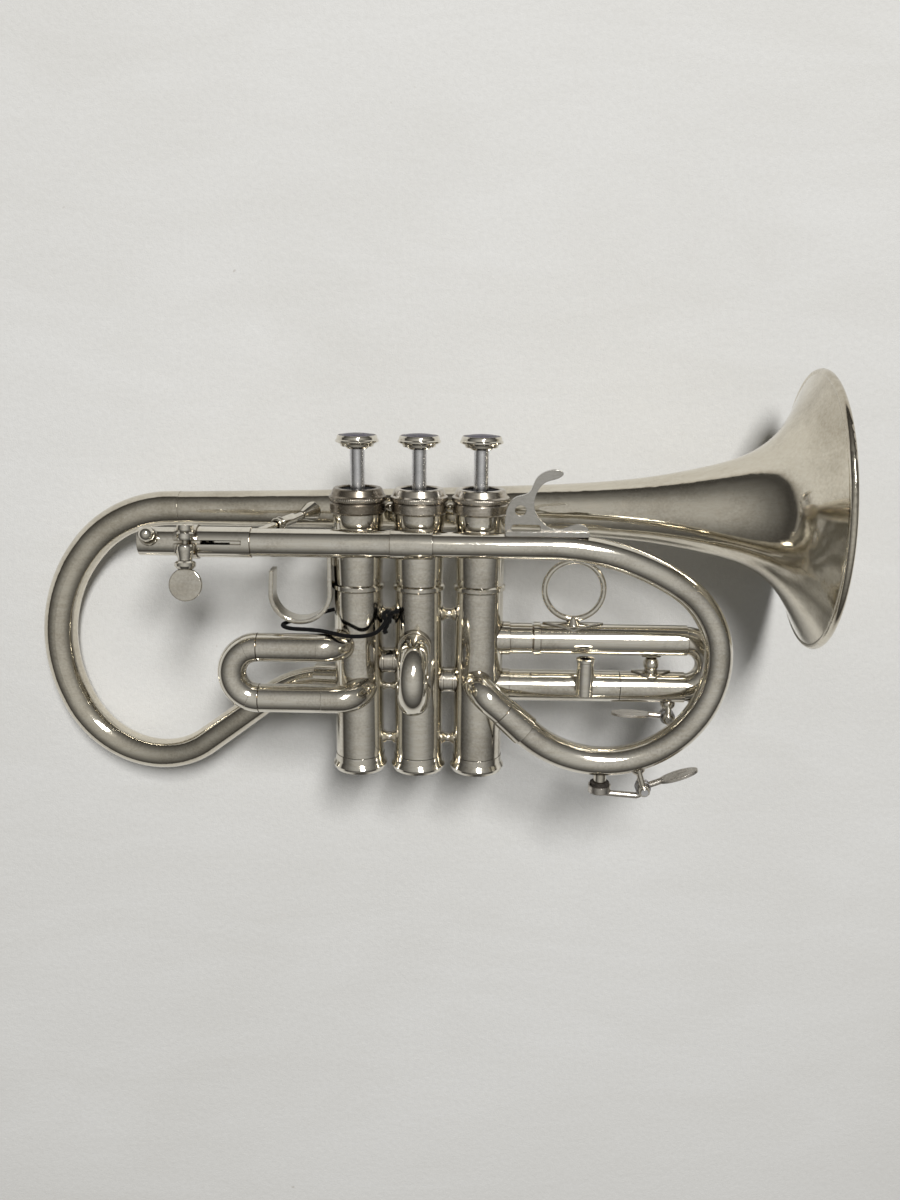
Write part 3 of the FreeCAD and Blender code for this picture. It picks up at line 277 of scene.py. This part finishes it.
def make_inlay():
    """Polished dark shell with a slow violet play of colour."""
    material, graph, shader, place = new_material("inlay")
    swirl = graph.noise(place, 160.0, 3.0, 0.5, 2.0)
    colour = graph.ramp(swirl, [(0.25, (0.012, 0.010, 0.018)), (0.5, (0.036, 0.030, 0.058)),
                                (0.62, (0.080, 0.070, 0.11)), (0.75, (0.022, 0.019, 0.034))])
    plug(graph, shader, Base_Color=colour, Roughness=graph.spread(swirl, 0.3, 0.7, 0.22, 0.36),
         Normal=graph.bump(graph.noise(place, 500.0, 2.0), 0.05, 0.0003))
    shader.inputs["Specular IOR Level"].default_value = 0.12
    return material


MATERIALS["inlay"] = make_inlay()
MATERIALS["cord"] = soft_matter("black_cord", (0.006, 0.006, 0.0065), (0.0015, 0.0015, 0.0018),
                                2600.0, (0.8, 1.0), 0.9, 0.0004, 0.02)

BY_SLOT = {
    "bell_silver": ["bell", "bell_rim_wire", "bell_bow"],
    "cap_silver": ["top_cap_1", "top_cap_2", "top_cap_3"],
    "key_silver": ["loop_key_lever", "third_key_lever"],
    "nickel": ["pinky_hook"],
    "steel": ["piston_1", "piston_2", "piston_3", "loop_key_screw", "third_key_screw"],
    "spring_wire": ["valve_springs", "loop_key_spring", "third_key_spring"],
    "guide_plastic": ["spring_guides"],
    "inlay": ["button_inlay_1", "button_inlay_2", "button_inlay_3"],
    "felt": ["cap_felts"],
    "cork": ["loop_key_cork", "third_key_cork"],
    "cord": ["tied_cord"],
}
slot_of_node = {node: slot for slot, members in BY_SLOT.items() for node in members}
# Nodes whose plate is worn or edged in another way than the rest of their slot.
SPECIAL = {
    "top_cap_1": plated("worn_cap_plate", (0.46, 0.41, 0.34), (0.26, 0.22, 0.17),
                        (0.05, 0.038, 0.028), (0.16, 0.34), 0.10, 0.42),
    "thumb_hook": plated("hook_plate", CLEAN_SILVER, DULL_SILVER, TARNISH_AND_SHADE, (0.07, 0.16), 0.05,
                         edge=0.0011),
}
for node, thing in NODES.items():
    slot = slot_of_node.get(node, "silver")
    thing.data.materials.clear()
    thing.data.materials.append(SPECIAL.get(node, MATERIALS[slot]))

# ---- helpers for added pieces ----


def new_piece(name, mesh, body, slot, nodes=()):
    """Links a mesh given in the row frame, gives it its finish and lets it ride on its body."""
    mesh.materials.append(MATERIALS[slot])
    for face in mesh.polygons:
        face.use_smooth = True
    piece = bpy.data.objects.new(name, mesh)
    bpy.context.scene.collection.objects.link(piece)
    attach(piece, body)
    if nodes:
        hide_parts(*nodes)
    return piece


def mesh_of(name, grids):
    """A mesh from closed grids of rings: each grid is (rows of points, whether its ends are capped)."""
    points, faces = [], []
    for rows, capped in grids:
        base, count = len(points), len(rows[0])
        for row in rows:
            points.extend(row)
        for i in range(len(rows) - 1):
            for j in range(count):
                k = (j + 1) % count
                faces.append((base + i * count + j, base + i * count + k,
                              base + (i + 1) * count + k, base + (i + 1) * count + j))
        if capped:
            faces.append([base + j for j in reversed(range(count))])
            faces.append([base + (len(rows) - 1) * count + j for j in range(count)])
    mesh = bpy.data.meshes.new(name)
    mesh.from_pydata([tuple(point) for point in points], [], faces)
    mesh.validate()
    shape = bmesh.new()
    shape.from_mesh(mesh)
    bmesh.ops.recalc_face_normals(shape, faces=shape.faces)
    shape.to_mesh(mesh)
    shape.free()
    return mesh


def frames_along(points):
    """A direction and two crosswise axes at each point of a line, turning as little as possible."""
    result, side = [], None
    for i, point in enumerate(points):
        ahead = (points[min(i + 1, len(points) - 1)] - points[max(i - 1, 0)]).normalized()
        if side is None:
            side = ahead.orthogonal()
        side = (side - ahead * side.dot(ahead)).normalized()
        result.append((point, side, ahead.cross(side)))
    return result


def tube_rows(points, radius, sides):
    """Rings of points round a line; radius is a number or a function of the share of the way along."""
    rows = []
    for i, (point, side, other) in enumerate(frames_along(points)):
        size = radius(i / (len(points) - 1)) if callable(radius) else radius
        turns = [2 * math.pi * j / sides for j in range(sides)]
        rows.append([point + (side * math.cos(turn) + other * math.sin(turn)) * size
                     for turn in turns])
    return rows


# ---- milled bands on the top caps ----

VALVE_X = (-25.0, 0.0, 25.0)
KNURL_RADIUS = 11.6
KNURL_TEETH = 84
KNURL_STEPS = KNURL_TEETH * 4
KNURL_DEPTH = 0.26
KNURL_LEAN = 0.9
# Heights up the cap, and how far the band stands proud there, in mm.
KNURL_PROFILE = [(35.42, -0.45), (35.6, 0.02), (35.95, 0.16), (36.4, 0.18), (36.85, 0.16),
                 (37.2, 0.02), (37.38, -0.45)]


def milled_band(x):
    """Rings of leaning teeth between two plain edges."""
    rows = []
    top = len(KNURL_PROFILE) - 1
    for level, (y, proud) in enumerate(KNURL_PROFILE):
        row = []
        for j in range(KNURL_STEPS):
            turn = 2 * math.pi * j / KNURL_STEPS
            tooth = 0.5 - 0.5 * math.cos(KNURL_TEETH * turn + KNURL_LEAN * (level - 3))
            radius = KNURL_RADIUS + proud - (KNURL_DEPTH * tooth if 0 < level < top else 0.0)
            row.append(at(x + radius * math.cos(turn), y, radius * math.sin(turn)))
        rows.append(row)
    return rows


for number, x in enumerate(VALVE_X, start=1):
    name = "milled_band_%d" % number
    new_piece(name, mesh_of(name, [(milled_band(x), False)]), "horn", "cap_silver")

# ---- felt washers in the mouths of the top caps ----

CAP_PLATE = 38.42
WASHER_SIDES = 64
# Radius and height above the cap plate, round the section of the washer.
WASHER = [(3.4, 0.0), (3.4, 0.75), (3.8, 1.0), (6.6, 1.05), (7.3, 0.8), (7.45, 0.0)]


def washer(x, seed):
    """A felt ring whose top swells a little unevenly."""
    rows = []
    for radius, height in WASHER:
        row = []
        for j in range(WASHER_SIDES):
            turn = 2 * math.pi * j / WASHER_SIDES
            swell = 1.0 + 0.10 * math.sin(3 * turn + seed) + 0.05 * math.sin(11 * turn + 2 * seed)
            row.append(at(x + radius * math.cos(turn), CAP_PLATE + height * swell,
                          radius * math.sin(turn)))
        rows.append(row)
    rows.append(rows[0])
    return rows


for number, x in enumerate(VALVE_X, start=1):
    name = "cap_washer_%d" % number
    new_piece(name, mesh_of(name, [(washer(x, number), False)]), "horn", "felt")

# ---- coil springs under the pistons ----

SPRING_FOOT = -75.4
SPRING_HEAD = -54.6
SPRING_RADIUS = 6.0
SPRING_WIRE = 0.45
COIL_TURNS = 8.0
COIL_STEPS = 40


def coil_points(x):
    """A cylindrical spring with closed end turns."""
    open_turns = COIL_TURNS - 2.0
    open_height = SPRING_HEAD - SPRING_FOOT - 2.0
    points = []
    for i in range(int(COIL_TURNS * COIL_STEPS) + 1):
        turn = i / (COIL_TURNS * COIL_STEPS) * COIL_TURNS
        rise = (min(turn, 1.0) + min(max(turn - 1.0, 0.0), open_turns) / open_turns * open_height
                + min(max(turn - COIL_TURNS + 1.0, 0.0), 1.0))
        angle = 2 * math.pi * turn
        points.append(at(x + SPRING_RADIUS * math.cos(angle), SPRING_FOOT + rise,
                         SPRING_RADIUS * math.sin(angle)))
    return points


for number, x in enumerate(VALVE_X, start=1):
    name = "valve_spring_%d" % number
    coil = new_piece(name, mesh_of(name, [(tube_rows(coil_points(x), SPRING_WIRE * MM, 8), True)]),
                     "horn", "spring_wire", ["valve_springs"] if number == 1 else ())
    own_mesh(coil)

# ---- cord tied round the first casing and the thumb hook ----

CORD_RADIUS = 0.7
STRANDS = 3
STRAND_SIDES = 7
LAY_PITCH = 0.0024
# How far a strand lies from the cord's middle and how thick it is, as shares of the cord's radius.
STRAND_OFFSET = 0.54
STRAND_RADIUS = 0.76
CORD_STEP = 0.0003
LOOP_RESOLUTION = 24
KNOT_RESOLUTION = 16
HAIRS = 9
HAIR_RADIUS = 0.00009
KNOT = Vector((-12.6, -11.4, 5.6))
CORD_ROUTE = [
    (-12.4, -12.0, 7.2), (-14.4, -16.0, 10.6), (-19.6, -18.2, 13.8), (-28.5, -17.3, 17.8),
    (-36.5, -16.2, 14.6), (-44.5, -16.9, 9.4), (-53.0, -17.5, 6.8), (-57.6, -17.2, 2.4),
    (-54.5, -17.0, -3.4), (-46.0, -15.6, -7.4), (-36.0, -13.2, -11.4), (-25.0, -12.4, -13.2),
    (-15.0, -12.6, -10.0), (-12.2, -15.9, -3.6), (-12.4, -15.6, 2.2), (-12.6, -13.0, 4.8),
]
KNOT_ROUTE = [
    (-1.0, -2.2, 0.6), (0.9, -1.2, 1.9), (1.8, 0.4, 0.8), (0.6, 1.7, -0.6), (-1.2, 1.2, -0.4),
    (-1.9, -0.4, 0.9), (-0.6, -1.4, 2.0), (1.0, -0.4, 2.2), (1.2, 1.2, 1.2), (-0.4, 1.9, 0.6),
    (-1.7, 0.8, 1.6), (-0.8, -1.0, 2.6), (0.8, -1.8, 1.6), (0.6, -3.0, 1.2),
]
LOOSE_ENDS = [
    [(0.4, -1.6, 1.6), (0.2, -3.4, 2.6), (-0.9, -5.0, 2.6), (-0.9, -6.8, 2.2)],
    [(0.6, 0.6, 1.6), (2.0, 1.8, 2.6), (3.4, 2.2, 2.7), (4.4, 2.6, 2.4)],
]


def smooth_line(name, route, resolution):
    """The points of the NURBS spline that has the route as its control points."""
    curve = bpy.data.curves.new(name, "CURVE")
    curve.dimensions = "3D"
    curve.resolution_u = resolution
    spline = curve.splines.new("NURBS")
    spline.points.add(len(route) - 1)
    for point, place in zip(spline.points, route):
        point.co = (*place, 1.0)
    spline.order_u = 3
    spline.use_endpoint_u = True
    holder = bpy.data.objects.new(name, curve)
    mesh = bpy.data.meshes.new_from_object(holder)
    points = [vertex.co.copy() for vertex in mesh.vertices]
    bpy.data.objects.remove(holder)
    bpy.data.curves.remove(curve)
    bpy.data.meshes.remove(mesh)
    return points


def twisted(points, radius, taper=None):
    """Strands laid round a line like a twisted string."""
    grids = []
    frames = frames_along(points)
    for strand in range(STRANDS):
        line, gone = [], 0.0
        for i, (point, side, other) in enumerate(frames):
            if i:
                gone += (point - frames[i - 1][0]).length
            turn = 2 * math.pi * (gone / LAY_PITCH + strand / STRANDS)
            spread = radius * STRAND_OFFSET * (taper(i / (len(frames) - 1)) if taper else 1.0)
            line.append(point + (side * math.cos(turn) + other * math.sin(turn)) * spread)
        grids.append((tube_rows(line, radius * STRAND_RADIUS, STRAND_SIDES), True))
    return grids


def divided(points, step):
    """The same line with points at even, close steps."""
    result = [points[0]]
    for a, b in zip(points, points[1:]):
        count = max(1, round((b - a).length / step))
        result.extend(a.lerp(b, (k + 1) / count) for k in range(count))
    return result


def knot_path(name, route):
    """A smooth line given from the middle of the knot, in close steps."""
    points = [at(*(KNOT + Vector(point))) for point in route]
    return divided(smooth_line(name, points, KNOT_RESOLUTION), CORD_STEP)


def fraying(share):
    """How much wider than the cord its end is: the last part opens out."""
    return 1.0 + 0.9 * max(0.0, share - 0.72) / 0.28


cord_line = smooth_line("cord_line", [at(*point) for point in CORD_ROUTE], LOOP_RESOLUTION)
cord_grids = twisted(divided(cord_line, CORD_STEP), CORD_RADIUS * MM)
cord_piece = new_piece("cord", mesh_of("cord", cord_grids), "horn", "cord", ["tied_cord"])
knot_grids = twisted(knot_path("knot_line", KNOT_ROUTE), CORD_RADIUS * MM)
end_grids = []
for number, route in enumerate(LOOSE_ENDS):
    line = knot_path("end_line", route)
    end_grids += twisted(line, CORD_RADIUS * MM, taper=fraying)
    tip, before = line[-1], line[-4]
    for hair in range(HAIRS):
        turn = 2.4 * hair + number
        lean = Vector((math.cos(turn), math.sin(turn * 1.3), math.sin(turn))) * 0.0005
        out = (tip - before).normalized() * (0.0009 + 0.0004 * math.sin(3.1 * hair))
        hair_line = [tip - out * 0.4, tip + out * 0.5 + lean * 0.6, tip + out + lean * 1.6]
        end_grids.append((tube_rows(hair_line, lambda share: HAIR_RADIUS * (1.1 - share), 4), True))
knot_piece = new_piece("cord_knot", mesh_of("cord_knot", knot_grids), "horn", "cord")
ends_piece = new_piece("cord_ends", mesh_of("cord_ends", end_grids), "horn", "cord")

# ---- floor ----


FLOOR_SIZE = 14.0


def make_floor():
    """Pale cloth with a faint nap and small specks, with painted shade that makes it a little darker
    away from the instrument.
    """
    bpy.ops.mesh.primitive_plane_add(size=FLOOR_SIZE, location=(0.0, 0.0, 0.0))
    floor = bpy.context.object
    floor.name = "floor"
    material, graph, shader, place = new_material("pale_cloth")
    clouds = graph.noise(place, 3.2, 4.0, 0.55, 0.6)
    nap = graph.noise(graph.stretched(place, (9.0, 30.0, 30.0)), 1.0, 4.0, 0.6, 1.2)
    pile = graph.noise(place, 420.0, 3.0, 0.7)
    weave = graph.noise(place, 1500.0, 2.0, 0.7)
    shade = graph.math("ADD", graph.math("MULTIPLY", clouds, 0.6), graph.math("MULTIPLY", nap, 0.4))
    colour = graph.mix(graph.spread(shade, 0.35, 0.66, 0.0, 1.0), (0.70, 0.70, 0.685),
                       (0.76, 0.765, 0.76))
    colour = graph.mix(graph.spread(pile, 0.35, 0.7, 0.0, 0.14), colour, (0.5, 0.49, 0.47))
    specks = graph.noise(place, 150.0, 1.0, 0.5)
    colour = graph.mix(graph.spread(specks, 0.80, 0.84, 0.0, 0.5), colour, (0.32, 0.27, 0.21))
    # Painted shade: the cloth darkens with distance from the instrument, as if the light fell off.
    painted_shade_reach = graph.add("ShaderNodeVectorMath", {0: place}, operation="LENGTH").outputs["Value"]
    colour = graph.mix(graph.spread(painted_shade_reach, 0.32, 0.95, 0.0, 0.6), colour, (0.39, 0.365, 0.33))
    height = graph.math("ADD", pile, graph.math("MULTIPLY", weave, 0.5))
    plug(graph, shader, Base_Color=colour, Roughness=graph.spread(pile, 0.3, 0.7, 0.85, 1.0),
         Normal=graph.bump(height, 0.25, 0.001))
    shader.inputs["Specular IOR Level"].default_value = 0.15
    floor.data.materials.append(material)


make_floor()

# ---- light ----


def area_light(name, place, size, power, colour, spin):
    """A rectangular lamp that faces the origin, its long side turned by spin degrees about up."""
    data = bpy.data.lights.new(name, "AREA")
    data.shape = "RECTANGLE"
    data.size, data.size_y = size
    data.energy = power
    data.color = colour
    light = bpy.data.objects.new(name, data)
    bpy.context.scene.collection.objects.link(light)
    light.location = place
    away = light.location.normalized()
    long_side = Matrix.Rotation(math.radians(spin), 3, "Z") @ Vector((0.0, 1.0, 0.0))
    long_side = (long_side - away * long_side.dot(away)).normalized()
    light.matrix_world = (Matrix.Translation(place)
                          @ Matrix((long_side.cross(away), long_side, away)).transposed().to_4x4())


area_light("main_light", (0.28, 1.20, 2.50), (0.50, 1.10), 71.0, (1.0, 0.985, 0.962), spin=-25.0)

BACKDROP = (0.42, 0.41, 0.39)
PLATE_STRENGTH = 1.28
FLOOR_STRENGTH = 0.55

# Brightness of the studio from straight up (0) to the horizon (1), as shares of a right angle.
STUDIO = [(0.0, (0.44, 0.435, 0.42)), (0.35, (0.34, 0.335, 0.32)), (0.65, (0.15, 0.147, 0.14)),
          (0.92, (0.05, 0.048, 0.045))]


def make_world():
    """A plain soft studio: pale overhead, darker towards the horizon, the same on every side.

    The camera sees a plain backdrop, and diffuse rays get less of the light than mirrored ones.
    """
    world = bpy.data.worlds.new("studio")
    world.use_nodes = True
    bpy.context.scene.world = world
    graph = Graph(world.node_tree)
    direction = graph.add("ShaderNodeTexCoord").outputs["Generated"]
    height = graph.add("ShaderNodeSeparateXYZ", {"Vector": direction}).outputs[2]
    angle = graph.math("DIVIDE", graph.math("ARCCOSINE", height), math.pi / 2)
    rays = graph.add("ShaderNodeLightPath").outputs
    studio = graph.mix(rays["Is Camera Ray"], graph.ramp(angle, STUDIO), BACKDROP)
    background = world.node_tree.nodes["Background"]
    world.node_tree.links.new(studio, background.inputs["Color"])
    strength = graph.spread(rays["Is Diffuse Ray"], 0.0, 1.0, PLATE_STRENGTH, FLOOR_STRENGTH)
    world.node_tree.links.new(strength, background.inputs["Strength"])


make_world()
bpy.context.scene.view_settings.view_transform = "Standard"
